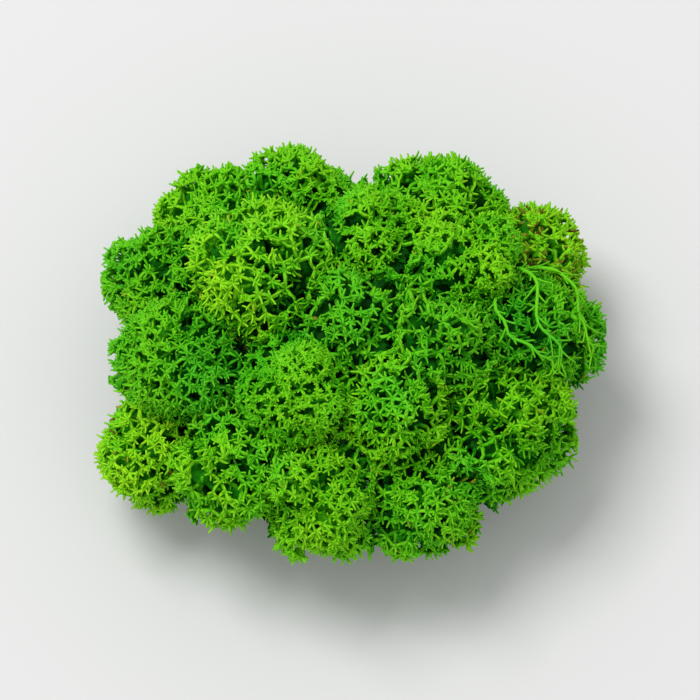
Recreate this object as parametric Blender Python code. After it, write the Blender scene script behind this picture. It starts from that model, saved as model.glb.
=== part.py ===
"""Reindeer moss clump: one picked cushion of a tree-like lichen, dyed bright green.

Each head is a plant body of its own: a fluted stalk that widens into a domed crown, covered all over
with twigs that split into points. The stalks of the clump spread like a fan from one root point below the ground,
and flat planes through that point part each head from its neighbours, so no two heads ever cross.
The inner stalks end on the ground, which gives the clump the small flat spot that it rests on.

Metres, +Z up. The origin is the middle of the flat spot, under the middle head.
"""

import math
import random
from collections import namedtuple

import bmesh
import bpy
from mathutils import Quaternion, Vector, noise

MM = 0.001

# The mound that the crowns' centres lie on
MOUND_HALF_X = 38 * MM
MOUND_HALF_Y = 32 * MM
MOUND_TOP = 31 * MM
MOUND_FALL = 20 * MM

# The point under the ground that every stalk comes from, the one that crowns face away from,
# half the gap between neighbours, and the cosine under which a way runs beside a plane
ROOT = Vector((0, 0, -20 * MM))
HEART = Vector((0, 0, 8 * MM))
HALF_GAP = 0.15 * MM
BESIDE = 1e-6

# Stalks: the inner ones reach the ground, the outer ones end a little higher
RIM_LIFT = 1.2 * MM  # the least height of a crown over the ground
FOOT_RADIUS = 3.6 * MM
FLAT_SPOT_RADIUS = 10 * MM
FOOT_RISE = 0.3
FLUTES = 5
FLUTE_DEPTH = 0.25
STALK_SHARES = (0.6, 0.3, 0.0)  # where the rings of a stalk lie, as shares of the way up to the crown's centre
LATE_WIDENING = 1.7  # the higher, the closer to the crown a stalk stays slender

# Crowns: the closed core inside the twigs, and how lumpy a crown is
CORE_SHARE = 0.7
LUMP = 0.15
LUMP_SIZE = 6 * MM
STRAY = 0.1  # how far a corner of the unit ball that a crown starts from may stray
STALK_START = -0.45  # faces of that ball under this height give way to the stalk

# Twigs: each one splits into three points, larger than life
LAST_TWIG = -0.15  # cosine of the widest angle between a twig and the way that its crown faces
SHORTEST_TWIG = 1.6 * MM  # a twig with less room than this to stand out of the core is left out
TWIG_RADIUS = 1.15 * MM
TWIG_TAPER = 0.87
TWIG_SPLIT = 0.5  # share of the way from the core out to the points at which a twig splits
TWIG_DIP = 0.45  # the same for the dip between its points, kept shallow so that the points aren't thin blades
POINT_SPREAD = 1.1 * MM
SEED = 200

DEEP_GREEN = (0.035, 0.19, 0.008)
YELLOW_GREEN = (0.27, 0.5, 0.012)
ROUGHNESS = 0.75

# x and y from the middle head, crown radius, lift off the mound, and tint from deep to yellow green
Head = namedtuple("Head", "name x y radius lift tint")
HEADS = tuple(
    Head(name, x * MM, y * MM, radius * MM, lift * MM, tint)
    for name, x, y, radius, lift, tint in (
        ("head_centre", 0, 0, 11.5, -1.5, 0.35),
        ("head_lacy", -13.5, 9, 14, 1, 0.75),
        ("head_back_left", -8.5, 23, 11.5, 0, 0.45),
        ("head_back_middle", 3, 15, 11.5, 0, 0.6),
        ("head_back_right", 14.5, 22.5, 12, 0, 0.55),
        ("head_folded", 16, 10, 12, 1, 0.65),
        ("head_yellow_rim", 26.5, 16, 11, 0, 0.9),
        ("head_stranded", 26.5, 1.5, 13, 0, 0.3),
        ("head_right_inner", 13, -2.5, 11.5, 0, 0.35),
        ("head_dark_left", -25, -3, 13.5, 0, 0.15),
        ("head_small_left", -30, -14, 10.5, 0, 0.7),
        ("head_smooth", -8, -10.5, 12.5, 1, 0.6),
        ("head_front_inner", 6, -12.5, 11.5, 0, 0.4),
        ("head_right_low", 23, -12, 12.5, 0, 0.5),
        ("head_front_middle", -4, -22, 12, 0, 0.5),
        ("head_front_right", 10.5, -22.5, 11.5, 0, 0.55),
        ("head_front_left", -17.5, -18, 12, 0, 0.4),
        ("head_left_back", -28, 11.5, 11.5, 0, 0.35),
        ("head_back_corner", -21, 21.5, 11, 0, 0.5),
    )
)


def crown_centre(head):
    """The middle of a head's crown, on a mound that falls away towards the clump's rim."""
    fall = (head.x / MOUND_HALF_X) ** 2 + (head.y / MOUND_HALF_Y) ** 2
    return Vector((head.x, head.y, MOUND_TOP - MOUND_FALL * fall + head.lift))


def stalk_point(up, height):
    """Where the line from the root point along up passes a height."""
    return ROOT + up * ((height - ROOT.z) / up.z)


def dividing_normals(head):
    """Normals of the planes through the root point that part a head from all the others.

    Each plane cuts the angle between two stalks in the ratio of the crowns' angular radii.
    """
    normals = []
    centre = crown_centre(head) - ROOT
    for other in HEADS:
        if other is head:
            continue
        far_centre = crown_centre(other) - ROOT
        angle = centre.angle(far_centre)
        own = math.asin(head.radius / centre.length)
        theirs = math.asin(other.radius / far_centre.length)
        split = angle * own / (own + theirs)
        near, far = centre.normalized(), far_centre.normalized()
        normals.append((far * math.cos(split) - near * math.cos(angle - split)) / math.sin(angle))
    return normals


def room(normals, start, direction, margin):
    """How far a point can go from start along direction and stay margin clear of every plane."""
    best = math.inf
    for normal in normals:
        closing = normal.dot(direction)
        if closing > BESIDE:
            best = min(best, (-margin - normal.dot(start - ROOT)) / closing)
    return best


def foot_height(up):
    """Inner stalks end on the ground, and outer ones rise with their distance from the middle."""
    return FOOT_RISE * max(0.0, stalk_point(up, 0).length - FLAT_SPOT_RADIUS)


def core_radius(head, share):
    """The core's radius at a share of the way from the foot to the crown's centre."""
    widening = share**LATE_WIDENING * (2 - share)
    return FOOT_RADIUS + (head.radius * CORE_SHARE - FOOT_RADIUS) * widening


def crown_edge(head, normals, direction):
    """The way from a crown's centre to its lumpy outer surface, its neighbours' room or the ground."""
    centre = crown_centre(head)
    lumpy = head.radius * (1 + LUMP * noise.noise((centre + direction * head.radius) / LUMP_SIZE))
    ground = (centre.z - RIM_LIFT) / -direction.z if direction.z < 0 else math.inf
    return min(lumpy, ground, room(normals, centre, direction, HALF_GAP))


def core_ball(head, normals, lean, draw):
    """A ball of 80 triangles pressed into a lumpy core. The faces where the stalk begins become one."""
    centre = crown_centre(head)
    shape = bmesh.new()
    bmesh.ops.create_icosphere(shape, subdivisions=2, radius=1)
    under = [face for face in shape.faces if face.calc_center_median().z < STALK_START]
    mouth = bmesh.ops.dissolve_faces(shape, faces=under)["region"][0]
    for vertex in shape.verts:
        stray = Vector([draw.uniform(-STRAY, STRAY) for axis in range(3)])
        direction = (lean @ (vertex.co + stray)).normalized()
        lumpy = 1 + LUMP * noise.noise((centre + direction * head.radius) / LUMP_SIZE)
        wanted = head.radius * CORE_SHARE * lumpy
        vertex.co = centre + direction * min(wanted, crown_edge(head, normals, direction))
    return shape, mouth


def drawn_out(shape, face):
    """The face that takes a face's place once it has been drawn out. Its corners wait where the old ones are."""
    return bmesh.ops.extrude_discrete_faces(shape, faces=[face])["faces"][0]


def draw_stalk(shape, face, head, normals, lean):
    """Draws the core's lowest face out in rings that grow narrower, level and fluted, down to a flat foot."""
    up = (crown_centre(head) - ROOT).normalized()
    start = stalk_point(up, foot_height(up))
    middle, tilt = crown_centre(head), lean
    for share in STALK_SHARES:
        face = drawn_out(shape, face)
        ring_middle = start.lerp(crown_centre(head), share)
        ring_tilt = Quaternion().slerp(lean, share)
        for vertex in face.verts:
            flat = tilt.inverted() @ (vertex.co - middle)
            turn = math.atan2(flat.y, flat.x)
            outward = ring_tilt @ Vector((math.cos(turn), math.sin(turn), 0))
            flute = FLUTE_DEPTH * (1 - share) * math.cos(FLUTES * turn)
            radius = core_radius(head, share) * (1 + flute)
            vertex.co = ring_middle + outward * min(radius, room(normals, ring_middle, outward, HALF_GAP))
        middle, tilt = ring_middle, ring_tilt


def sideways(point, direction):
    """The unit vector from the line along direction out to a point, both seen from the crown's centre."""
    return (point - direction * point.dot(direction)).normalized()


def draw_twig(shape, face, head, normals):
    """Draws one face of the core out into a tapered twig, dips its end and pulls three points out of it."""
    centre = crown_centre(head)
    base = face.calc_center_median() - centre
    direction = base.normalized()
    sides = [sideways(vertex.co - centre, direction) for vertex in face.verts]
    points_to = [(a + b).normalized() for a, b in zip(sides, sides[1:] + sides[:1])]
    aims = [(direction * head.radius + side * POINT_SPREAD).normalized() for side in points_to]
    length = min(crown_edge(head, normals, aim) for aim in aims) - base.length
    if direction.dot((centre - HEART).normalized()) < LAST_TWIG or length < SHORTEST_TWIG:
        return
    for share, radius in ((0, TWIG_RADIUS), (TWIG_SPLIT, TWIG_RADIUS * TWIG_TAPER)):
        face = drawn_out(shape, face)
        for vertex in face.verts:
            side = sideways(vertex.co - centre, direction)
            vertex.co = centre + direction * (base.length + length * share) + side * radius
    dip = bmesh.ops.poke(shape, faces=[face])
    dip["verts"][0].co = centre + direction * (base.length + length * TWIG_DIP)
    for point in bmesh.ops.poke(shape, faces=dip["faces"])["verts"]:
        side = sideways(point.co - centre, direction)
        aim = (direction * head.radius + side * POINT_SPREAD).normalized()
        point.co = centre + aim * crown_edge(head, normals, aim)


def head_mesh(head, draw):
    """One closed surface: core, stalk and twigs."""
    normals = dividing_normals(head)
    up = (crown_centre(head) - ROOT).normalized()
    spin = Quaternion((0, 0, 1), draw.uniform(0, math.tau))
    lean = Vector((0, 0, 1)).rotation_difference(up) @ spin
    shape, mouth = core_ball(head, normals, lean, draw)
    crown = [face for face in shape.faces if face is not mouth]
    draw_stalk(shape, mouth, head, normals, lean)
    for face in crown:
        draw_twig(shape, face, head, normals)
    mesh = bpy.data.meshes.new(head.name)
    shape.to_mesh(mesh)
    shape.free()
    return mesh


def head_material(head):
    """Matte dyed lichen, between deep and yellow green by the head's tint."""
    material = bpy.data.materials.new(head.name)
    material.use_nodes = True
    colour = [a + (b - a) * head.tint for a, b in zip(DEEP_GREEN, YELLOW_GREEN)]
    surface = material.node_tree.nodes["Principled BSDF"]
    surface.inputs["Base Color"].default_value = (*colour, 1)
    surface.inputs["Roughness"].default_value = ROUGHNESS
    surface.inputs["Metallic"].default_value = 0
    return material


def main():
    for old in list(bpy.data.objects):
        bpy.data.objects.remove(old)
    clump = bpy.data.collections.new("reindeer_moss_clump")
    bpy.context.scene.collection.children.link(clump)
    for number, head in enumerate(HEADS):
        mesh = head_mesh(head, random.Random(SEED + number))
        mesh.materials.append(head_material(head))
        clump.objects.link(bpy.data.objects.new(head.name, mesh))


main()
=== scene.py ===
# %% [markdown]
# # The looks of a reindeer moss clump
#
# Reindeer moss is a lichen. Each head of the clump is a plant body of its own: a stalk that
# forks again and again, until the outermost twigs meet in a spongy lace with tiny pointed tips.
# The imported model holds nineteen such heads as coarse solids. This script grows a fine head in
# the place of each one and dyes it, so the solids decide the size and the twigs decide the
# looks.
#
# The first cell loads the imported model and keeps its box, which no twig may leave.

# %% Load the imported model
import math
from collections import namedtuple

import bpy
import numpy as np
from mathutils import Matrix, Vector


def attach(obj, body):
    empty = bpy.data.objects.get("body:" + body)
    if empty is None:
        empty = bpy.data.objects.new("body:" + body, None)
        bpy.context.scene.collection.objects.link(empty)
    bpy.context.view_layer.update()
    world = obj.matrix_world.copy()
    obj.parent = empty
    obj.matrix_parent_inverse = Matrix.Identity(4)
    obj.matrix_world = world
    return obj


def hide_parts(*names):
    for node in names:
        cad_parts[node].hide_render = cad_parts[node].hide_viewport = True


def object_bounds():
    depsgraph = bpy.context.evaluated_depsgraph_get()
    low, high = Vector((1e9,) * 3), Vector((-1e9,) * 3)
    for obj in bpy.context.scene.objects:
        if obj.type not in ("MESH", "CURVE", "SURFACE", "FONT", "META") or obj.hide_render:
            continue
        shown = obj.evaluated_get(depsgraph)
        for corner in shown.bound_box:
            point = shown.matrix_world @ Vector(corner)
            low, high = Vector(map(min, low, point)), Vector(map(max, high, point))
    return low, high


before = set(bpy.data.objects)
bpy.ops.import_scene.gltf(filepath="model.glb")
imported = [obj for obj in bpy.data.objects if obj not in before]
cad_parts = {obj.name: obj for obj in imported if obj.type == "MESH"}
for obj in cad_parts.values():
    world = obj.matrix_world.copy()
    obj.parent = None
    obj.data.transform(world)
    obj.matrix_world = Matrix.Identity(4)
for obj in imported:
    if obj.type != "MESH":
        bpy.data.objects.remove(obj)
cad_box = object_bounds()
MM = 0.001
print(len(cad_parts), "heads, clump", [round(side / MM, 1) for side in cad_box[1] - cad_box[0]], "mm")

# %% [markdown]
# ## How each head differs
#
# Heads of one clump aren't alike. Some are loose and lacy with holes that look black, some are
# packed so tightly that they look like velvet, and the dye took more or less in each. A table
# with one row a head keeps those differences in one place. Its numbers could also be drawn at
# random, but then no head would be where the real clump has it.

# %% The table of heads
# finish, mm between the knots of the lace, mm that a tip is long, how many lobes a whole ball
# of its size would have, how much the lace thins out in patches, and the share of dried twigs
Look = namedtuple("Look", "finish spacing tip lobes patchy dried")
LOOKS = {
    "head_centre": Look("dark_green_head", 1.72, 1.3, 15, 0.55, 0.01),
    "head_lacy": Look("yellow_green_head", 2.02, 1.5, 16, 0.95, 0.02),
    "head_back_left": Look("green_head", 1.54, 1.2, 15, 0.5, 0.01),
    "head_back_middle": Look("green_head", 1.41, 1.0, 13, 0.45, 0.01),
    "head_back_right": Look("green_head", 1.63, 1.3, 15, 0.6, 0.01),
    "head_folded": Look("green_head", 1.32, 0.9, 9, 0.3, 0.01),
    "head_yellow_rim": Look("yellow_green_head", 1.63, 1.3, 15, 0.6, 0.16),
    "head_stranded": Look("dark_green_head", 1.76, 1.4, 14, 0.7, 0.02),
    "head_right_inner": Look("dark_green_head", 1.72, 1.3, 13, 0.6, 0.01),
    "head_dark_left": Look("dark_green_head", 1.54, 1.2, 16, 0.5, 0.01),
    "head_small_left": Look("yellow_green_head", 1.58, 1.2, 13, 0.5, 0.03),
    "head_smooth": Look("green_head", 1.23, 0.8, 9, 0.2, 0.0),
    "head_front_inner": Look("green_head", 1.67, 1.3, 14, 0.7, 0.01),
    "head_right_low": Look("green_head", 1.72, 1.35, 15, 0.6, 0.01),
    "head_front_middle": Look("green_head", 1.54, 1.2, 15, 0.55, 0.01),
    "head_front_right": Look("green_head", 1.63, 1.25, 14, 0.6, 0.02),
    "head_front_left": Look("green_head", 1.72, 1.3, 15, 0.6, 0.01),
    "head_left_back": Look("dark_green_head", 1.58, 1.2, 14, 0.5, 0.01),
    "head_back_corner": Look("green_head", 1.54, 1.2, 14, 0.5, 0.01),
}
assert set(LOOKS) == set(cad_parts)
print(len(LOOKS), "looks,", len({look.finish for look in LOOKS.values()}), "finishes")

# %% [markdown]
# ## Even directions and soft waves
#
# Twigs leave the middle of a crown in every direction. A grid of latitude and longitude would
# crowd them at the poles. A golden spiral spaces any number of directions evenly: the height
# falls in equal steps while the turn grows by the golden angle each time.
#
# Nothing that grows is as regular as that. A few waves that run in random directions, added up,
# make a soft field of highs and lows, and it bends shapes and thins the lace in patches.

# %% Golden spiral and waves
GOLDEN_ANGLE = math.pi * (3 - math.sqrt(5))
FIRST_SEED = 7
NO_LENGTH = 1e-12  # keeps a vector of no length from being divided by 0
WAVES = 8
WAVES_A_LENGTH = 0.7, 1.3  # how often each of them repeats within the length that is asked for
WAVE_KEYS = {"cushions": 11, "holes": 5, "pimples": 2, "dry patches": 3}  # each has its own waves


def rng_of(name):
    """A random generator that gives each head the same draws in every run."""
    return np.random.default_rng(sorted(LOOKS).index(name) + FIRST_SEED)


def unit(vectors):
    """Each vector divided by its own length."""
    return vectors / np.maximum(np.linalg.norm(vectors, axis=-1, keepdims=True), NO_LENGTH)


def spiral(count):
    """Direction i has height 1 - (2i + 1) / count and turns by i golden angles."""
    step = np.arange(count)
    height = 1 - (2 * step + 1) / count
    out = np.sqrt(1 - height * height)
    turn = step * GOLDEN_ANGLE
    return np.column_stack((out * np.cos(turn), out * np.sin(turn), height))


def waves(places, length, key):
    """Sum of cos(2 pi d.p / length + phase) over a few random d, scaled to stay mostly within -1 and 1."""
    rng = np.random.default_rng(key)
    along = unit(rng.normal(size=(WAVES, 3))) * rng.uniform(*WAVES_A_LENGTH, (WAVES, 1))
    phase = rng.uniform(0, math.tau, WAVES)
    return np.cos(places @ along.T * math.tau / length + phase).sum(axis=-1) / math.sqrt(2 * WAVES)


sample = spiral(100)
nearest = math.acos(np.sort(sample @ sample[50])[-2])
print("nearest neighbours of", len(sample), "directions are",
      round(math.degrees(nearest)), "degrees apart")

# %% [markdown]
# ## Where the solids say that each crown is
#
# A fine head must fill the same space as its solid. The crown's middle and radius are those of
# the ball that best fits the solid's outermost tips, found with least squares, because the
# solid's own centre of gravity lies too far down the stalk. The solid's box is kept too, and so
# is its foot. Lobes that would stand out of the box are drawn in until they fit, because one that
# is cut off at the box shows a straight edge.

# %% Measure the crowns
ROOT = np.array((0, 0, -20 * MM))  # all stalks point at this place under the ground
HEART = np.array((0, 0, 8 * MM))  # crowns face away from the clump's heart
TIP_DIRECTIONS = 400
LOBE_STRAY = 0.16  # how far the lobes' directions stray from an even spread
LOBE_SIZES, LOBE_TOPS = (0.32, 0.5), (0.92, 1.08)  # shares of the crown's radius
BOX_SHARE_FOR_LOBES = 0.97
LEAST_SLANT = 0.05  # cosine under which a lobe runs beside a side of the box
Crown = namedtuple("Crown", (
    "name", "middle", "radius", "low", "high", "facing", "axis", "foot",
    "lobes", "lobe_sizes", "lobe_tops", "partings",
))


def corners(node):
    """The places of a node's corners as rows, to a micrometre, each written once."""
    flat = np.empty(len(node.data.vertices) * 3, np.float32)
    node.data.vertices.foreach_get("co", flat)
    return np.unique(flat.reshape(-1, 3).astype(float).round(6), axis=0)


def fitted_ball(points):
    """Least squares on |p|^2 = 2 p.c + (r^2 - |c|^2) gives the centre c and the radius r."""
    rows = np.column_stack((2 * points, np.ones(len(points))))
    answer = np.linalg.lstsq(rows, (points**2).sum(axis=1), rcond=None)[0]
    return answer[:3], math.sqrt(answer[3] + answer[:3] @ answer[:3])


def drawn_in(tops, lobes, sizes, room):
    """Each lobe's own top, or the farthest one that the box has room for if that is less.

    A lobe's middle lies at c = top - size, and towards each of the six sides it needs as much room
    as c * (direction . side) + size.
    """
    slant = np.column_stack((lobes, -lobes))
    free = (room - sizes[:, None]) / np.maximum(slant, LEAST_SLANT)
    farthest = np.where(slant > LEAST_SLANT, free, np.inf).min(axis=1)
    return np.minimum(tops, farthest + sizes)


def measured_crown(name):
    """The middle, radius, box, directions and foot of one head's solid, and its lobes."""
    points = corners(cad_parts[name])
    directions = spiral(TIP_DIRECTIONS)
    directions = directions[directions @ unit(points.mean(axis=0) - ROOT) > 0]
    tips = points[np.unique(np.argmax(points @ directions.T, axis=0))]
    middle, radius = fitted_ball(tips)
    axis = unit(middle - ROOT)
    low, high = points.min(axis=0), points.max(axis=0)
    foot = middle - axis * (middle[2] - low[2]) / axis[2]
    rng = rng_of(name)
    lobes = spiral(LOOKS[name].lobes) @ np.linalg.qr(rng.normal(size=(3, 3)))[0]
    lobes = unit(lobes + rng.normal(size=lobes.shape) * LOBE_STRAY)
    sizes, tops = rng.uniform(*LOBE_SIZES, len(lobes)), rng.uniform(*LOBE_TOPS, len(lobes))
    room = np.concatenate((high - middle, middle - low)) * BOX_SHARE_FOR_LOBES / radius
    tops = drawn_in(tops, lobes, sizes, room)
    facing = unit(middle - HEART)
    return Crown(name, middle, radius, low, high, facing, axis, foot, lobes, sizes, tops, None)


crowns = {name: measured_crown(name) for name in LOOKS}
radii = [crown.radius / MM for crown in crowns.values()]
print("crown radii", round(min(radii), 1), "to", round(max(radii), 1), "mm")

# %% [markdown]
# ## Partings and the mound
#
# Heads that grow side by side press flat against each other, and each keeps to its own wedge of
# the clump, but for the outermost twigs that reach in between the neighbour's. The wedges are
# bounded by planes through the root point, one for each pair of heads. Cutting the heads with a
# Boolean would give the same flat sides, but thousands of twigs would be left with open ends, so
# here the twigs are told beforehand how far they can grow.
#
# The crowns' middles lie on a mound that falls away to the rim. Its shape is fitted to them, and
# it tells which places lie deep in a crevice and which on top.

# %% Partings and mound
OVERLAP = 0.8 * MM  # how far a head's twigs reach in between its neighbours'


def partings_of(crown):
    """Normals n and heights h of planes with n.p <= h, one for each other crown.

    Each stands OVERLAP beyond a plane through the root that splits the angle between two crowns in
    the ratio of their angular radii: n = (far cos(split) - near cos(angle - split)) / sin(angle).
    """
    others = [other for other in crowns.values() if other.name != crown.name]
    near = crown.middle - ROOT
    far = np.array([other.middle for other in others]) - ROOT
    own = math.asin(crown.radius / np.linalg.norm(near))
    theirs = np.arcsin(np.array([other.radius for other in others]) / np.linalg.norm(far, axis=1))
    near, far = unit(near), unit(far)
    angle = np.arccos(far @ near)
    split = angle * own / (own + theirs)
    across = far * np.cos(split)[:, None] - near * np.cos(angle - split)[:, None]
    normals = across / np.sin(angle)[:, None]
    return normals, normals @ ROOT + OVERLAP


crowns = {name: crown._replace(partings=partings_of(crown)) for name, crown in crowns.items()}
middles = np.array([crown.middle for crown in crowns.values()])
mound_rows = np.column_stack((np.ones(len(middles)), -middles[:, :2] ** 2))
MOUND_TOP, *MOUND_FALL = np.linalg.lstsq(mound_rows, middles[:, 2], rcond=None)[0]


def over_mound(places):
    """z - (top - fall_x x^2 - fall_y y^2): how high a place lies over the mound of the crowns' middles."""
    return places[:, 2] - MOUND_TOP + places[:, :2] ** 2 @ MOUND_FALL


print("the mound is", round(MOUND_TOP / MM, 1), "mm high, and the crowns lie",
      round(np.abs(over_mound(middles)).max() / MM, 1), "mm off it at most")

# %% [markdown]
# ## The outline that the twigs fill
#
# From its middle, a crown reaches out in each direction as far as its outline. A bare ball looks
# like a tennis ball, and a real head looks like a cauliflower: about a dozen round lobes of
# unequal height with dark creases between them. So each lobe is a smaller ball, and the outline
# is the far side of whichever lobe lies furthest out.
#
# Balls that stand together leave deep wells between them. Real heads fill most of those with
# side lobes. So where other heads close the way, the outline goes on to the parting, up to a
# cushion that lies over the mound, high in some places and low in others.

# %% Reach, lobes and outline
BESIDE = 1e-6  # cosine under which a way runs beside a plane
CREASE_FLOOR = 0.76  # share of the crown's radius that the creases between lobes go down to
LUMP_HEIGHT, LUMP_WIDTH = 0.05, 1.1  # of the lumps that make the lobes uneven, in radii
CUSHION_LIFT = 5.5 * MM
CUSHION_WAVE, CUSHION_WIDTH = 5.0 * MM, 17 * MM
CUSHION_COVER = 1 * MM  # how far over a crown's middle the cushion lies at least
LEAST_DIVISOR = 1e-9  # keeps the root below from a division by 0
CLOSED_UNDER, OPEN_OVER = 1.2, 1.5  # how near, in radii, a parting closes the way


def reach(crown, directions, planes, clear=0.0):
    """The least distance (h - clear - n.middle) / n.d from the middle to a plane that d runs into."""
    normals, heights = planes
    room = heights - clear - normals @ crown.middle
    closing = directions @ normals.T
    return np.where(closing > BESIDE, room / np.maximum(closing, BESIDE), np.inf).min(axis=1)


def skin(crown):
    """The partings and the six sides of the solid's box, as one set of planes."""
    normals, heights = crown.partings
    return np.vstack((normals, np.eye(3), -np.eye(3))), np.concatenate((heights, crown.high, -crown.low))


def lobed(crown, directions):
    """How far out the lobes reach in each direction, in radii.

    A lobe of size s and top t has its middle at c = t - s. In a direction at the angle a to the
    lobe's own, its far side lies at c cos(a) + sqrt(s^2 - c^2 sin^2(a)).
    """
    cosine = directions @ crown.lobes.T
    size, away = crown.lobe_sizes, crown.lobe_tops - crown.lobe_sizes
    inside = size**2 - away**2 * (1 - cosine**2)
    far_side = away * cosine + np.sqrt(np.maximum(inside, 0))
    return np.where((inside > 0) & (cosine > 0), far_side, CREASE_FLOOR).max(axis=1)


def to_cushion(crown, directions):
    """How far the cushion is from a crown's middle in each direction d.

    Putting middle + t d into the lifted mound gives a t^2 + b t + c = 0, and the root is
    t = -2c / (b + sqrt(b^2 - 4ac)).
    """
    beside = crown.middle + directions * crown.radius
    waved = np.clip(waves(beside, CUSHION_WIDTH, WAVE_KEYS["cushions"]), -1, 1)
    lift = CUSHION_LIFT + CUSHION_WAVE * waved
    a = directions[:, :2] ** 2 @ MOUND_FALL
    b = directions[:, 2] + 2 * directions[:, :2] * crown.middle[:2] @ MOUND_FALL
    c = np.minimum(over_mound(crown.middle[None]) - lift, -CUSHION_COVER)
    return -2 * c / np.maximum(b + np.sqrt(b * b - 4 * a * c), LEAST_DIVISOR)


def closed(crown, directions):
    """1 where another head's parting lies within CLOSED_UNDER radii, and 0 beyond OPEN_OVER radii."""
    away = reach(crown, directions, crown.partings) / crown.radius
    return np.clip((OPEN_OVER - away) / (OPEN_OVER - CLOSED_UNDER), 0, 1)


def outline(crown, directions, clear=0.0):
    """The lobes, or the cushion where the way is closed and it lies further out, cut by the skin."""
    lumps = 1 + LUMP_HEIGHT * waves(directions, LUMP_WIDTH, len(crown.name))
    lobes = crown.radius * lobed(crown, directions) * lumps
    cushion = np.minimum(to_cushion(crown, directions), OPEN_OVER * crown.radius)
    low_lobes = cushion * closed(crown, directions)
    return np.minimum(reach(crown, directions, skin(crown), clear), np.maximum(lobes, low_lobes))


lacy = crowns["head_lacy"]
sample = spiral(400)
tops = outline(lacy, sample[sample @ lacy.facing > 0]) / MM
print("outline of the lacy head", tops.min().round(1), "to", tops.max().round(1), "mm from its middle")

# %% [markdown]
# ## Tubes
#
# Every twig is a thin closed tube. Curves with a bevel would make the same shape, but thousands
# of curve objects are slow. Here all twigs of a kind are worked out at once: paths are an array
# of (twig, point on it, xyz), each point gets a ring of corners, the last ring ends in a point,
# and the first one is closed flat.

# %% Tubes from paths
# radius at the base and at the top, rings along it and corners round each ring
Tube = namedtuple("Tube", "base top rings sides")
# corners, faces and how many tubes they are
Growth = namedtuple("Growth", "points faces tubes")


def next_round(corner, sides):
    """The neighbour of each corner on its ring. Each ring's corners are numbered one after another."""
    return corner - corner % sides + (corner + 1) % sides


def tube_faces(rings, sides):
    """Two triangles for each cell between rings, a fan to the tip and a fan over the base."""
    cell = np.arange((rings - 1) * sides)
    right = next_round(cell, sides)
    last = (rings - 1) * sides + np.arange(sides)
    tip = np.full(sides, rings * sides)
    fan = np.arange(1, sides - 1)
    return np.concatenate((
        np.column_stack((cell, right, right + sides)),
        np.column_stack((cell, right + sides, cell + sides)),
        np.column_stack((last, next_round(last, sides), tip)),
        np.column_stack((np.zeros_like(fan), fan + 1, fan)),
    ))


def tubes(paths, kind):
    """Ring corner = path point + radius * (first * cos(turn) + second * sin(turn)).

    First and second are crosswise to the path and to each other, and the radius goes evenly from
    the kind's base to its top.
    """
    along = unit(np.gradient(paths, axis=1))
    chord = unit(paths[:, -1] - paths[:, 0])
    least = np.eye(3)[np.abs(chord).argmin(axis=1)]
    across = np.cross(chord, least)[:, None]
    first = unit(across - (across * along).sum(axis=-1, keepdims=True) * along)
    second = np.cross(along, first)
    turn = (np.arange(kind.sides) * math.tau / kind.sides)[:, None]
    spokes = first[:, :, None] * np.cos(turn) + second[:, :, None] * np.sin(turn)
    radius = np.linspace(kind.base, kind.top, kind.rings)
    rings = paths[:, :, None] + spokes * radius[:, None, None]
    tips = paths[:, -1] + along[:, -1] * kind.top
    points = np.concatenate((rings.reshape(len(paths), -1, 3), tips[:, None]), axis=1)
    before = np.arange(len(paths)) * (kind.rings * kind.sides + 1)
    faces = tube_faces(kind.rings, kind.sides) + before[:, None, None]
    return Growth(points.reshape(-1, 3), faces.reshape(-1, 3), len(paths))


def bent(start, pull, end, rings):
    """Quadratic Bezier: (1 - t)^2 start + 2t(1 - t) pull + t^2 end."""
    t = np.linspace(0, 1, rings)[:, None]
    return (1 - t) ** 2 * start[:, None] + 2 * t * (1 - t) * pull[:, None] + t * t * end[:, None]


def kept_in(crown, paths, clear):
    """Path points outside the skin are drawn in towards the crown's middle."""
    away = paths.reshape(-1, 3) - crown.middle
    length = np.linalg.norm(away, axis=-1)
    most = reach(crown, unit(away), skin(crown), clear)
    return (crown.middle + away * np.minimum(1, most / length)[:, None]).reshape(paths.shape)


print(len(tube_faces(rings=3, sides=4)), "triangles for a tube with three rings of four corners")

# %% [markdown]
# ## Forks
#
# A real stalk forks in whorls, each branch thinner than the one before. The same order is used
# here. Stems rise from the foot, and then shells of forks follow, each further out and closer
# together. Every fork hangs on the nearest fork of the shell below, and its twig leaves that
# fork outwards before it bends across, which is how living branches part. Twigs that lie deep
# between two heads can't be seen, so most of them are left out.

# %% Shells of forks
STEMS = 0.42, 4.2  # share of the way to the outline, spacing in mm
BRANCHES = 0.66, 3.0
TWIGS = 0.82, 1.9
KNOTS_AT = 0.95
AREA_A_FORK = 0.87  # what each of evenly spread places takes up, in squares of their spacing
FORK_CHANCE = 1.1  # over 1, so every dense place at the crown's own radius gets a fork
FORK_STRAY = 0.2  # in spacings
FORK_CLEARANCE = 0.3 * MM  # least depth under the skin
SHELL_STRAY = 0.02  # how far forks lie under or over their shell, as a share of the way out
FARTHEST_BACK = -0.3  # cosine of the widest angle to the way that a crown faces
HIDDEN_DEPTH = 7.0 * MM
SHARE_KEPT = 0.15  # of the forks that lie deeper in the clump than that
HOLES_APART = 4 * MM
HOLE_EDGE, HOLE_RARITY = 1.4, 0.2  # the more, the sharper the holes' edges and the fewer the holes
LIMB_PULL, LIMB_STRAY = 0.5, 0.08  # in lengths of the limb
BRANCH = Tube(0.55 * MM, 0.4 * MM, 4, 4)
TWIG = Tube(0.42 * MM, 0.34 * MM, 3, 4)


def thinness(places):
    """0 where the lace is dense, and up to 1 in the middle of a hole."""
    return np.clip(HOLE_EDGE * waves(places, HOLES_APART, WAVE_KEYS["holes"]) - HOLE_RARITY, 0, 1)


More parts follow.
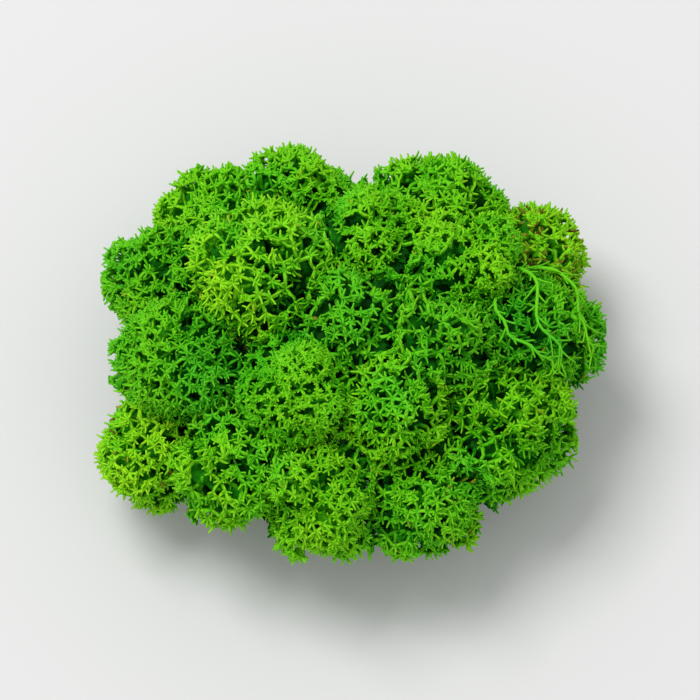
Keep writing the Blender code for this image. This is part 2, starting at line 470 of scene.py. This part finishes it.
def depth_in_clump(points):
    """How deep a place lies in the balls of all the crowns, at the one where it lies deepest."""
    balls = np.array([crown.radius for crown in crowns.values()])
    return (balls - np.linalg.norm(points[:, None] - middles, axis=-1)).max(axis=1)


def forks(crown, rng, share, spacing, patchy=0.0):
    """Jittered spiral directions, each at a share of the way to the outline.

    The chance that one is kept grows with the square of the outline, which keeps them evenly dense,
    and it falls where the lace is thin.
    """
    count = round(4 * math.pi * (share * crown.radius / MM / spacing) ** 2 / AREA_A_FORK)
    directions = spiral(count) @ np.linalg.qr(rng.normal(size=(3, 3)))[0]
    stray = rng.normal(size=directions.shape) * FORK_STRAY * spacing * MM / crown.radius
    directions = unit(directions + stray)
    away = outline(crown, directions, FORK_CLEARANCE)
    skin_places = crown.middle + directions * away[:, None]
    dense = (away / crown.radius) ** 2 * FORK_CHANCE * (1 - patchy * thinness(skin_places))
    shown = directions @ crown.facing > FARTHEST_BACK
    seen = (depth_in_clump(skin_places) < HIDDEN_DEPTH) | (rng.random(count) < SHARE_KEPT)
    kept = (rng.random(count) < dense) & shown & seen
    directions, away = directions[kept], away[kept]
    away = away * share * rng.normal(1, SHELL_STRAY, len(away))
    return crown.middle + directions * away[:, None], directions


def limbs(crown, rng, parents, children, kind):
    """Tubes that leave the nearest parent outwards and then bend across to the child.

    The pull point lies outwards of the parent, LIMB_PULL of their distance away, and strays a little.
    """
    away = np.linalg.norm(children[:, None] - parents, axis=-1)
    starts = parents[away.argmin(axis=1)]
    length = away.min(axis=1)[:, None]
    pull = starts + unit(starts - crown.middle) * length * LIMB_PULL
    pull = pull + rng.normal(size=pull.shape) * length * LIMB_STRAY
    return tubes(bent(starts, pull, children, kind.rings), kind)


print(len(forks(lacy, rng_of("head_lacy"), *TWIGS)[0]), "twig forks on the lacy head")

# %% [markdown]
# ## Lace and tips
#
# Seen from outside, the last branchlets join up in a net with small dark holes, and short
# pointed tips stand out of its knots like stars. The outermost forks are the knots. Each is tied
# to its nearest neighbours with a thread that sags or bulges a little, so where knots are few
# the holes are wide, and where they crowd the lace closes up like velvet. Under a hole the
# forks of the shell below bear tips too, so it shows a second lace, darker by real and painted shade.

# %% Lace and tips
TIES = 3  # threads that each knot starts
LONGEST_TIE = 1.9  # in spacings
THREAD_PULL, THREAD_STRAY = 0.5, 0.2  # in lengths of the thread
FINE_CLEARANCE = 0.2 * MM  # least depth under the skin
TIPS_A_KNOT = 4
STAR_LEAN = 0.3  # how far a knot's tips lean together, as against the way outwards
TIP_TURN = 0.3  # how far a tip's turn strays, in shares of a tip's part of the circle
TIP_RISES, TIP_LENGTHS = (0.2, 0.9), (0.6, 1.2)  # in lengths of the tip, in the head's own tip length
TIP_PULL_ASIDE, TIP_ASIDE = 0.55, 0.85  # in lengths of the tip
TIP_PULL_UP = 0.15  # share of the tip's rise
HOLE_OVER = 0.25  # share of the knots that is missing where the forks below bear tips
LAST_TWIG = Tube(0.35 * MM, 0.32 * MM, 3, 3)
THREAD = Tube(0.32 * MM, 0.32 * MM, 3, 3)
TIP = Tube(0.3 * MM, 0.16 * MM, 3, 3)


def tied(knots, longest):
    """Pairs of each knot and its nearest neighbours, none twice or further apart than longest."""
    away = np.linalg.norm(knots[:, None] - knots, axis=-1)
    nearest = np.argsort(away, axis=1)[:, 1:TIES + 1]
    pairs = np.column_stack((np.repeat(np.arange(len(knots)), TIES), nearest.ravel()))
    pairs = np.unique(np.sort(pairs, axis=1), axis=0)
    return pairs[away[pairs[:, 0], pairs[:, 1]] < longest]


def thread_paths(crown, look, rng, knots):
    """From knot to knot, with a pull point up to THREAD_PULL lengths over or under the halfway point."""
    pairs = tied(knots, LONGEST_TIE * look.spacing * MM)
    starts, ends = knots[pairs[:, 0]], knots[pairs[:, 1]]
    length = np.linalg.norm(ends - starts, axis=1, keepdims=True)
    halfway = (starts + ends) / 2
    share = rng.uniform(-THREAD_PULL, THREAD_PULL, (len(pairs), 1))
    pull = halfway + unit(halfway - crown.middle) * length * share
    pull = pull + rng.normal(size=pull.shape) * length * THREAD_STRAY
    return kept_in(crown, bent(starts, pull, ends, THREAD.rings), FINE_CLEARANCE)


def tip_paths(crown, look, rng, knots, directions):
    """Tip j of a knot leaves at turn 2 pi (j + jitter) / tips, first crosswise, and then rises."""
    stars = len(knots)
    lean = unit(directions + rng.normal(size=directions.shape) * STAR_LEAN)
    side = unit(np.cross(lean, rng.normal(size=lean.shape)))
    across = np.cross(lean, side)
    jitter = rng.uniform(-TIP_TURN, TIP_TURN, (stars, TIPS_A_KNOT))
    turn = (np.arange(TIPS_A_KNOT) + jitter) * math.tau / TIPS_A_KNOT
    flat = side[:, None] * np.cos(turn)[..., None] + across[:, None] * np.sin(turn)[..., None]
    rise = rng.uniform(*TIP_RISES, (stars, TIPS_A_KNOT, 1))
    length = look.tip * MM * rng.uniform(*TIP_LENGTHS, (stars, TIPS_A_KNOT, 1))
    starts = np.broadcast_to(knots[:, None], flat.shape)
    pull = starts + flat * length * TIP_PULL_ASIDE + lean[:, None] * length * rise * TIP_PULL_UP
    ends = starts + flat * length * TIP_ASIDE + lean[:, None] * length * rise
    starts, pull, ends = (places.reshape(-1, 3) for places in (starts, pull, ends))
    return kept_in(crown, bent(starts, pull, ends, TIP.rings), FINE_CLEARANCE)


def under_holes(crown, look, forks_below):
    """True for each fork that lies under thin lace, seen from the crown's middle."""
    over = crown.middle + (forks_below - crown.middle) / TWIGS[0]
    return look.patchy * thinness(over) > HOLE_OVER


print("a knot has", TIPS_A_KNOT, "tips of", len(tube_faces(TIP.rings, TIP.sides)), "triangles")

# %% [markdown]
# ## The stalk
#
# Under the crown, the old stems of a head run side by side down to its foot. They are the
# thickest tubes. Each starts in the foot at a place that matches the fork it feeds, so the stems
# fan out and don't cross. Bare rods would look like celery, so short side twigs stand out of them,
# as on the real stalks.

# %% Stems
FOOT_SPREAD = 2.6 * MM
FOOT_LIFT = 0.5  # height of a stem's start over the foot, in its radius
STEM = Tube(0.7 * MM, 0.5 * MM, 6, 5)
STEM_PULL = 0.75  # share of the way from the foot to the crown's middle
STEM_WOBBLE = 0.3 * MM
WHISKER = Tube(0.28 * MM, TIP.top, 3, 3)
WHISKERS = 8  # side twigs on the lower half of each stem
WHISKER_PLACES = 0.1, 1  # shares of the way from one ring of the stem to the next
WHISKER_LENGTHS = 1.0, 2.6  # in mm
WHISKER_PULL, WHISKER_RISE = 0.6, 0.7  # in lengths of the whisker


def stem_paths(crown, rng, forks_out):
    """From the foot up along the stalk's axis, then outwards to each fork, with a wobble on the way."""
    offset = forks_out - crown.middle
    sideways = offset - (offset @ crown.axis)[:, None] * crown.axis
    spread = sideways * FOOT_SPREAD / np.linalg.norm(sideways, axis=1).max()
    starts = crown.foot + crown.axis * STEM.base * FOOT_LIFT + spread
    pull = starts + crown.axis * np.linalg.norm(crown.middle - crown.foot) * STEM_PULL
    paths = bent(starts, pull, forks_out, STEM.rings)
    paths[:, 1:-1] += rng.normal(size=paths[:, 1:-1].shape) * STEM_WOBBLE
    return paths


def whisker_paths(crown, rng, stems):
    """From a place between two rings of a stem, crosswise at a random turn and then up.

    The end lies at place + (aside + WHISKER_RISE * along) * length.
    """
    stem = np.repeat(np.arange(len(stems)), WHISKERS)
    ring = rng.integers(0, STEM.rings // 2, len(stem))
    low, high = stems[stem, ring], stems[stem, ring + 1]
    places = low + (high - low) * rng.uniform(*WHISKER_PLACES, (len(stem), 1))
    along = unit(high - low)
    aside = unit(np.cross(along, rng.normal(size=along.shape)))
    length = rng.uniform(*WHISKER_LENGTHS, (len(places), 1)) * MM
    pull = places + aside * length * WHISKER_PULL
    ends = places + (aside + along * WHISKER_RISE) * length
    return kept_in(crown, bent(places, pull, ends, WHISKER.rings), FINE_CLEARANCE)


print(len(forks(lacy, rng_of("head_lacy"), *STEMS)[0]), "stems in the stalk of the lacy head")

# %% [markdown]
# ## The heart of a crown
#
# Under the lace lie older twigs, so closely that no light falls through. Filling the whole depth
# with tubes would cost thousands that nobody sees, so a closed body fills the inner part. It has
# the lobes and creases of the crown, it is pimpled like a bed of tips, and where the lace is thin
# it sinks, so that the holes are deep and dark. Its colour is painted darker still, as shade.

# %% Heart
HEART_SHARE = 0.76  # of the way to the outline
HOLE_DEPTH = 0.5  # the same for how far the heart of a wholly patchy head sinks in a hole
PIMPLE_WIDTH, PIMPLE_SHARE = 2.0 * MM, 0.05
HEART_ROWS, HEART_COLUMNS = 52, 76


def heart_faces(rows, columns):
    """Two triangles for each cell between rows of corners, and a fan round each pole."""
    cell = np.arange((rows - 2) * columns)
    right = next_round(cell, columns)
    top = (rows - 1) * columns
    rim = np.arange(columns)
    low = rim + (rows - 2) * columns
    return np.concatenate((
        np.column_stack((cell, cell + columns, right + columns)),
        np.column_stack((cell, right + columns, right)),
        np.column_stack((np.full_like(rim, top), rim, next_round(rim, columns))),
        np.column_stack((np.full_like(rim, top + 1), next_round(low, columns), low)),
    ))


def heart_surface(crown, patchy):
    """A ball's grid of latitude and longitude, each corner at a share of the way to the outline.

    Share = HEART_SHARE - holes where the lace is thin + pimples. The last two corners are the poles.
    """
    row = np.arange(1, HEART_ROWS) * math.pi / HEART_ROWS
    column = np.arange(HEART_COLUMNS) * math.tau / HEART_COLUMNS
    out = np.sin(row)[:, None]
    height = np.broadcast_to(np.cos(row)[:, None], (len(row), len(column)))
    grid = np.stack((out * np.cos(column), out * np.sin(column), height), axis=-1)
    directions = np.vstack((grid.reshape(-1, 3), (0, 0, 1), (0, 0, -1)))
    away = outline(crown, directions)
    places = crown.middle + directions * away[:, None]
    holes = HOLE_DEPTH * patchy * thinness(places)
    pimples = PIMPLE_SHARE * waves(places, PIMPLE_WIDTH, WAVE_KEYS["pimples"])
    points = crown.middle + directions * (away * (HEART_SHARE - holes + pimples))[:, None]
    return Growth(points, heart_faces(HEART_ROWS, HEART_COLUMNS), 1)


print(len(heart_faces(HEART_ROWS, HEART_COLUMNS)), "triangles for a heart")

# %% [markdown]
# ## Long strands
#
# Over the head at the right lie a few long branches that have come loose, pale and bare but for
# thin twigs on both sides. Each winds over the crown from its back to its front.

# %% Strands
STRANDED = "head_stranded"
STRAND_FROM = np.array((-0.35, 0.75, 0.6))  # directions from the crown's middle
STRAND_TO = np.array((0.6, -0.55, 0.6))
STRANDS = 3
STRAND = Tube(0.36 * MM, 0.18 * MM, 24, 5)
STRAND_SHIFT, STRAND_BOW = 0.3, 0.2  # how far aside at most, in radii
STRAND_CROSSING = 0.5  # how far a strand moves aside at most from its start to its end
WINDING = 0.05
WINDING_TURNS = 1.2, 2.4  # on the whole way
FINE_WINDING, FINE_TURNS = 0.5, 2.3  # as against the wide winding
STRAND_FLOOR = 0.95  # in radii
STRAND_LIFT, STRAND_WAVE = 1.03, 0.03  # shares of the way to the outline
STRAND_CLEARANCE = 0.6 * MM
SIDE_TWIG = Tube(0.2 * MM, TIP.top, 4, 3)
SIDE_TWIG_LENGTHS = 1.0, 3.6  # in mm
SIDE_TWIG_PULL = 0.3, 0.45  # aside and forwards, in lengths of the twig
SIDE_TWIG_ASIDE = 0.4, 0.8
SIDE_TWIG_FORWARDS, SIDE_TWIG_UP = 0.8, 0.12


def strand_paths(crown, rng):
    """Directions (1 - t) from + t to + side * aside, a little outside the outline.

    Aside = shift + bow * sin(pi t) + winding + crossing * (t - 1/2).
    """
    t = np.linspace(0, 1, STRAND.rings)[:, None]
    start, end = unit(STRAND_FROM), unit(STRAND_TO)
    side = unit(np.cross(start, end))
    shift = np.linspace(-STRAND_SHIFT, STRAND_SHIFT, STRANDS)[:, None, None]
    bow = rng.uniform(-STRAND_BOW, STRAND_BOW, (STRANDS, 1, 1))
    turns = rng.uniform(*WINDING_TURNS, (2, STRANDS, 1, 1))
    phase = rng.uniform(0, math.tau, (2, STRANDS, 1, 1))
    wide = np.sin(math.tau * turns[0] * t + phase[0])
    fine = np.sin(math.tau * FINE_TURNS * turns[1] * t + phase[1])
    winding = WINDING * (wide + FINE_WINDING * fine)
    crossing = rng.uniform(-STRAND_CROSSING, STRAND_CROSSING, (STRANDS, 1, 1)) * (t - 0.5)
    aside = shift + bow * np.sin(math.pi * t) + winding + crossing
    directions = unit(start * (1 - t) + end * t + side * aside)
    away = outline(crown, directions.reshape(-1, 3)).reshape(STRANDS, STRAND.rings, 1)
    lift = STRAND_LIFT + STRAND_WAVE * np.sin(math.tau * turns[1] * t + phase[0])
    over = np.maximum(away, STRAND_FLOOR * crown.radius) * lift
    return kept_in(crown, crown.middle + directions * over, STRAND_CLEARANCE)


def side_twigs(crown, rng, strands):
    """From each inner point of a strand, left and right in turn, a twig aside, forwards and up."""
    places = strands[:, 2:-2]
    along = unit(strands[:, 3:-1] - strands[:, 1:-3])
    outward = unit(places - crown.middle)
    turn = np.where(np.arange(places.shape[1]) % 2 == 0, 1, -1)[:, None]
    aside = np.cross(outward, along) * turn
    length = rng.uniform(*SIDE_TWIG_LENGTHS, (*places.shape[:2], 1)) * MM
    pull = places + (aside * SIDE_TWIG_PULL[0] + along * SIDE_TWIG_PULL[1]) * length
    way = aside * rng.uniform(*SIDE_TWIG_ASIDE, length.shape) + along * SIDE_TWIG_FORWARDS
    ends = places + (way + outward * SIDE_TWIG_UP) * length
    starts, pull, ends = (part.reshape(-1, 3) for part in (places, pull, ends))
    return kept_in(crown, bent(starts, pull, ends, SIDE_TWIG.rings), FINE_CLEARANCE)


strands = strand_paths(crowns[STRANDED], rng_of(STRANDED))
lengths = np.linalg.norm(np.diff(strands, axis=1), axis=-1).sum(axis=1) / MM
print(len(strands), "strands,", lengths.min().round(), "to", lengths.max().round(), "mm long")

# %% [markdown]
# ## Putting a head together
#
# The tubes of one head become one mesh, so a head is one piece as in the model. Three numbers
# are kept at each corner for the finish. "outward" tells how far out a place lies on the way to
# the outline, less in creases and wells, and the finish paints shade and light by it. "twig" is a
# random number that all corners of one tube share, and "dried" is above 0 on the few twigs that
# have lost their dye and on the old feet of the stalks.

# %% Heads
# painted shade: the numbers below darken "outward", and so the colour, in creases, crevices and the heart
CREVICE_SHADE = 0.45  # how open to light a place is that lies no higher than the mound, from 0 to 1
CREVICE_DEPTH = 0.7  # height over the mound, in radii, where crevices end
LEAST_SHADE = 0.4  # share of "outward" that no crease or crevice takes away
HEART_SHADE = 0.8
DRY_PATCH = 7 * MM
DRY_EDGE = 0.02  # a twig whose draw lies less than this under the dried share is dried in part
LEAST_DRIED = 0.5  # of a dried twig, and up to 1 by its own number
FADED_LENGTH = 11 * MM  # how far up from its foot a stalk is faded
FADED_FOOT = 0.45  # "dried" at the foot itself


def mesh_from(name, points, faces):
    """A smooth mesh from rows of corners and rows of triangles."""
    mesh = bpy.data.meshes.new(name)
    mesh.vertices.add(len(points))
    mesh.vertices.foreach_set("co", points.astype(np.float32).ravel())
    mesh.loops.add(faces.size)
    mesh.loops.foreach_set("vertex_index", faces.astype(np.int32).ravel())
    mesh.polygons.add(len(faces))
    mesh.polygons.foreach_set("loop_start", np.arange(0, faces.size, 3, dtype=np.int32))
    mesh.update(calc_edges=True)
    mesh.polygons.foreach_set("use_smooth", np.ones(len(faces), bool))
    return mesh


def keep_number(mesh, name, values):
    """Stores one number at each corner for the finish to read."""
    mesh.attributes.new(name, "FLOAT", "POINT").data.foreach_set("value", values.astype(np.float32))


def outwardness(crown, places):
    """Share of the way to the outline, times a painted shade.

    Shade = LEAST_SHADE + (1 - LEAST_SHADE) * the lesser of outline / radius and how open to light
    the place is, which rises with its height over the mound from CREVICE_SHADE to 1.
    """
    offset = places - crown.middle
    away = outline(crown, unit(offset))
    height = np.clip(over_mound(places) / (CREVICE_DEPTH * crown.radius), 0, 1)
    light = CREVICE_SHADE + (1 - CREVICE_SHADE) * height
    shade = LEAST_SHADE + (1 - LEAST_SHADE) * np.minimum(away / crown.radius, light)
    return np.linalg.norm(offset, axis=1) / away * shade


def grown_pieces(crown, look, rng):
    """Heart, stems, branches, twigs, lace and tips, in the order in which their tubes are numbered."""
    stems, _ = forks(crown, rng, *STEMS)
    branches, _ = forks(crown, rng, *BRANCHES)
    twigs, twig_directions = forks(crown, rng, *TWIGS)
    knots, directions = forks(crown, rng, KNOTS_AT, look.spacing, look.patchy)
    threads = thread_paths(crown, look, rng, knots)
    low = under_holes(crown, look, twigs)
    starred, ways = np.vstack((knots, twigs[low])), np.vstack((directions, twig_directions[low]))
    tips = tip_paths(crown, look, rng, starred, ways)
    stalks = stem_paths(crown, rng, stems)
    whiskers = whisker_paths(crown, rng, stalks)
    pieces = [
        heart_surface(crown, look.patchy),
        tubes(stalks, STEM),
        tubes(whiskers, WHISKER),
        limbs(crown, rng, stems, branches, BRANCH),
        limbs(crown, rng, branches, twigs, TWIG),
        limbs(crown, rng, twigs, knots, LAST_TWIG),
        tubes(threads, THREAD),
        tubes(tips, TIP),
    ]
    if crown.name == STRANDED:
        pieces.append(tubes(strands, STRAND))
        pieces.append(tubes(side_twigs(crown, rng, strands), SIDE_TWIG))
    return pieces


def joined(pieces):
    """All corners as rows, and all faces, with each piece's corners numbered after those before it."""
    before = np.cumsum([0] + [len(piece.points) for piece in pieces[:-1]])
    faces = np.concatenate([piece.faces + first for piece, first in zip(pieces, before)])
    return np.concatenate([piece.points for piece in pieces]), faces


def one_a_tube(rng, pieces):
    """A random number for each tube, given to all its corners."""
    numbers = [np.repeat(rng.random(piece.tubes), len(piece.points) // piece.tubes) for piece in pieces]
    return np.concatenate(numbers)


def grown(name):
    """One mesh of all pieces of a head, with the numbers that its finish reads."""
    crown, look, rng = crowns[name], LOOKS[name], rng_of(name)
    pieces = grown_pieces(crown, look, rng)
    heart_corners = len(pieces[0].points)
    places, faces = joined(pieces)
    places[:, 2] = np.maximum(places[:, 2], crown.foot[2])
    mesh = mesh_from(name, places, faces)
    outward = outwardness(crown, places)
    # painted shade: the heart's colour is made darker than its depth alone would make it
    outward[:heart_corners] *= HEART_SHADE
    keep_number(mesh, "outward", outward)
    own, dry = one_a_tube(rng, pieces), one_a_tube(rng, pieces)
    dry[:heart_corners] = 1  # the heart never dries
    keep_number(mesh, "twig", own)
    share = look.dried * (1 + waves(places, DRY_PATCH, WAVE_KEYS["dry patches"]))
    dried = np.clip(share - dry, 0, DRY_EDGE) / DRY_EDGE * (LEAST_DRIED + (1 - LEAST_DRIED) * own)
    up = np.linalg.norm(places - crown.foot, axis=1) / FADED_LENGTH
    keep_number(mesh, "dried", FADED_FOOT * np.clip(1 - up, 0, 1) + dried)
    return mesh


heads = {}
for name in LOOKS:
    head = bpy.data.objects.new("fine_" + name, grown(name))
    bpy.context.scene.collection.objects.link(head)
    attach(head, "root")
    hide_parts(name)
    heads[name] = head
counts = [len(head.data.polygons) for head in heads.values()]
print(sum(counts), "triangles in all,", min(counts), "to", max(counts), "a head")

# %% [markdown]
# ## The dye and its painted shade
#
# The moss is dyed an even bright green. On top of the dye the colour holds painted light and shade:
# the tips are painted palest and yellowest as if lit, the forks under them full green, and deep
# inside the colour sinks to a blackish green as painted shade. A texture picture could hold that,
# but the numbers kept at each corner say it better: a ramp reads how far out a place lies, and
# the tube's own number makes single twigs lighter or darker. Noise in the object's own
# coordinates adds patches a few millimetres wide, and wider ones that lean to yellow or to blue.
# Dried twigs turn straw yellow and then brown.
#
# A small class wraps a socket, so that shader maths reads like ordinary Python.

# %% A small language for shader maths
class Number:
    """A socket that carries one number and takes +, - and * as numbers do."""

    def __init__(self, finish, socket):
        self.finish, self.socket = finish, socket

    def worked(self, operation, first, second):
        """The result of one Math node that works on both."""
        made = self.finish.node("ShaderNodeMath", {"operation": operation}, {0: first, 1: second})
        return Number(self.finish, made.outputs[0])

    def __add__(self, other):
        return self.worked("ADD", self, other)

    def __sub__(self, other):
        return self.worked("SUBTRACT", self, other)

    def __rsub__(self, other):
        return self.worked("SUBTRACT", other, self)

    def __mul__(self, other):
        return self.worked("MULTIPLY", self, other)

    __radd__, __rmul__ = __add__, __mul__


class Finish:
    """A material under construction. One method adds any node."""

    def __init__(self, name):
        self.material = bpy.data.materials.new(name)
        self.material.use_nodes = True
        self.links = self.material.node_tree.links
        self.surface = self.material.node_tree.nodes["Principled BSDF"]

    def plug(self, socket, value):
        """Links a number or another socket to the socket, and sets it to any other value."""
        if isinstance(value, Number):
            value = value.socket
        if isinstance(value, bpy.types.NodeSocket):
            self.links.new(value, socket)
        else:
            socket.default_value = value

    def node(self, kind, settings, values):
        """A new node with its settings made first and then its sockets filled."""
        made = self.material.node_tree.nodes.new(kind)
        for name, value in settings.items():
            if name == "stops":
                ramp = made.color_ramp.elements
                while len(ramp) < len(value):
                    ramp.new(0.5)
                for stop, (place, colour) in zip(ramp, value):
                    stop.position = place
                    stop.color = (*colour, 1)
            else:
                setattr(made, name, value)
        for name, value in values.items():
            self.plug(made.inputs[name], value)
        return made

    def kept(self, name):
        """A number that the mesh keeps at its corners."""
        return Number(self, self.node("ShaderNodeAttribute", {"attribute_name": name}, {}).outputs["Fac"])

    def noise(self, size, detail):
        """Noise in the object's own coordinates, with lumps about size across."""
        place = self.node("ShaderNodeTexCoord", {}, {}).outputs["Object"]
        made = self.node("ShaderNodeTexNoise", {}, {"Vector": place, "Scale": 1 / size, "Detail": detail})
        return Number(self, made.outputs["Fac"])

    def ramp(self, number, stops):
        """The colour that a number has on a ramp of (place, colour) stops."""
        return self.node("ShaderNodeValToRGB", {"stops": stops}, {0: number}).outputs[0]

    def mixed(self, share, first, second, blend="MIX"):
        """The first colour where share is 0, and where it is 1 the second, or both multiplied."""
        settings = {"data_type": "RGBA", "blend_type": blend}
        return self.node("ShaderNodeMix", settings, {0: share, 6: first, 7: second}).outputs[2]


# %% [markdown]
# The ramp paints shade. Its stops lie where the shells of forks lie: the heart is painted nearly
# black, the branches deep green and the tips bright, as light falls on them.

# %% Moss finishes
# colours from the heart out to the tips, as shares of red, green and blue: the dye with painted
# shade, nearly black at the heart, and painted light, palest at the tips
DYE_RAMPS_WITH_PAINTED_SHADE = {
    "green_head": (
        (0.0004, 0.065, 0.0003), (0.012, 0.27, 0.0006), (0.1, 0.55, 0.002), (0.24, 0.76, 0.01)),
    "yellow_green_head": (
        (0.0006, 0.07, 0.0003), (0.022, 0.31, 0.0006), (0.15, 0.63, 0.003), (0.34, 0.85, 0.013)),
    "dark_green_head": (
        (0.0003, 0.06, 0.0005), (0.008, 0.23, 0.001), (0.06, 0.46, 0.003), (0.17, 0.68, 0.01)),
}
PLACES_ON_RAMP = 0.45, 0.64, 0.8, 0.98
WARM_TINT = 1.35, 1.03, 1.0, 1  # factors on red, green, blue and opacity
COOL_TINT = 0.4, 0.9, 2.0, 1
STRAW = 0.42, 0.42, 0.02
BROWN = 0.14, 0.07, 0.015
DRIED_STOPS = (0.5, STRAW), (0.95, BROWN)
DRIED_STRENGTH = 1.5
PATCHES, SPECKLE, GRAIN, HUE_PATCHES = (7 * MM, 2.0), (1.1 * MM, 2.0), (0.8 * MM, 3.0), (12 * MM, 1.0)
PATCH_SHADE, SPECKLE_SHADE, TWIG_SHADE = 0.34, 0.2, 0.14  # how far each shifts a place on the ramp
HUE_STRENGTH = 3
MIDDLE = 0.5  # of each noise and of the twigs' own numbers
ROUGHNESS, PATCH_ROUGHNESS, SHINE = 0.65, 0.25, 0.15
BUMP_STRENGTH, BUMP_HEIGHT = 0.7, 0.35 * MM


def moss(name, shaded_dyes):
    """Colour = painted-shade ramp of (outward + patches + speckle + the twig's own shade), times a warm or
    cool tint.

    Where a twig is dried, straw and then brown are mixed in.
    """
    finish = Finish(name)
    outward, own, dried = finish.kept("outward"), finish.kept("twig"), finish.kept("dried")
    patches, speckle = finish.noise(*PATCHES), finish.noise(*SPECKLE)
    shade = outward + (patches - MIDDLE) * PATCH_SHADE + (speckle - MIDDLE) * SPECKLE_SHADE
    shade = shade + (own - MIDDLE) * TWIG_SHADE
    hue = finish.noise(*HUE_PATCHES)
    # painted shade: the ramp makes the dye blackish deep inside and in creases, and palest at the tips
    dye_and_painted_shade = finish.ramp(shade, tuple(zip(PLACES_ON_RAMP, shaded_dyes)))
    dye_and_painted_shade = finish.mixed((hue - MIDDLE) * HUE_STRENGTH, dye_and_painted_shade, COOL_TINT, "MULTIPLY")
    dye_and_painted_shade = finish.mixed((MIDDLE - hue) * HUE_STRENGTH, dye_and_painted_shade, WARM_TINT, "MULTIPLY")
    faded = finish.ramp(dried, DRIED_STOPS)
    colour = finish.mixed(dried * DRIED_STRENGTH, dye_and_painted_shade, faded)
    finish.plug(finish.surface.inputs["Base Color"], colour)
    finish.plug(finish.surface.inputs["Roughness"], ROUGHNESS + patches * PATCH_ROUGHNESS)
    finish.surface.inputs["Specular IOR Level"].default_value = SHINE
    relief = {"Strength": BUMP_STRENGTH, "Distance": BUMP_HEIGHT, "Height": finish.noise(*GRAIN)}
    bump = finish.node("ShaderNodeBump", {}, relief)
    finish.plug(finish.surface.inputs["Normal"], bump.outputs[0])
    return finish.material


finishes = {name: moss(name, shaded_dyes) for name, shaded_dyes in DYE_RAMPS_WITH_PAINTED_SHADE.items()}
for name, head in heads.items():
    head.data.materials.append(finishes[LOOKS[name].finish])
print(len(finishes), "finishes")

# %% [markdown]
# ## Floor, light and camera
#
# The clump lies on a plain pale floor. One broad soft lamp hangs above and to the left, as in a
# studio with a ceiling light, and a grey sky fills the shade. The camera looks down steeply from
# far away through a long lens, which keeps the near heads from looking larger than the far ones.

# %% Floor
FLOOR_SIDE = 6.0
FLOOR_COLOUR, FLOOR_ROUGHNESS = (0.8, 0.8, 0.8, 1), 0.9
floor_points = np.array(((-1, -1, 0), (1, -1, 0), (1, 1, 0), (-1, 1, 0))) * FLOOR_SIDE / 2
floor_faces = np.array(((0, 1, 2), (0, 2, 3)))
floor = bpy.data.objects.new("floor", mesh_from("floor", floor_points, floor_faces))
bpy.context.scene.collection.objects.link(floor)
paper = Finish("pale_paper")
paper.surface.inputs["Base Color"].default_value = FLOOR_COLOUR
paper.surface.inputs["Roughness"].default_value = FLOOR_ROUGHNESS
floor.data.materials.append(paper.material)
print("a floor of", FLOOR_SIDE, "by", FLOOR_SIDE, "m")

# %% Light
SKY_COLOUR, SKY_STRENGTH = (1, 1, 1, 1), 0.6
LAMP_PLACE, LAMP_SIDE, LAMP_POWER = (-0.7, 0.5, 1.8), 0.9, 21.5
world = bpy.data.worlds.new("studio")
world.use_nodes = True
sky = world.node_tree.nodes["Background"]
sky.inputs["Color"].default_value = SKY_COLOUR
sky.inputs["Strength"].default_value = SKY_STRENGTH
bpy.context.scene.world = world


def soft_lamp(name, place, size, power):
    """A square area lamp that points at the clump."""
    lamp = bpy.data.lights.new(name, "AREA")
    lamp.size = size
    lamp.energy = power
    held = bpy.data.objects.new(name, lamp)
    held.location = place
    held.rotation_euler = (-Vector(place)).to_track_quat("-Z", "Y").to_euler()
    bpy.context.scene.collection.objects.link(held)


soft_lamp("ceiling_lamp", LAMP_PLACE, LAMP_SIDE, LAMP_POWER)
bpy.context.scene.view_settings.view_transform = "Standard"
print("a lamp of", LAMP_POWER, "W under a sky of strength", SKY_STRENGTH)

# %% Camera
ELEVATION = math.radians(70.6)
DISTANCE = 1.78
FRAMED_WIDTH = 110 * MM
SENSOR_WIDTH = 36
middle = (cad_box[0] + cad_box[1]) / 2
lens = bpy.data.cameras.new("camera")
lens.sensor_width = SENSOR_WIDTH
lens.lens = SENSOR_WIDTH * DISTANCE / FRAMED_WIDTH
camera = bpy.data.objects.new("camera", lens)
camera.location = middle + Vector((0, -math.cos(ELEVATION), math.sin(ELEVATION))) * DISTANCE
camera.rotation_euler = (math.pi / 2 - ELEVATION, 0, 0)
bpy.context.scene.collection.objects.link(camera)
bpy.context.scene.camera = camera
print("lens", round(lens.lens), "mm")
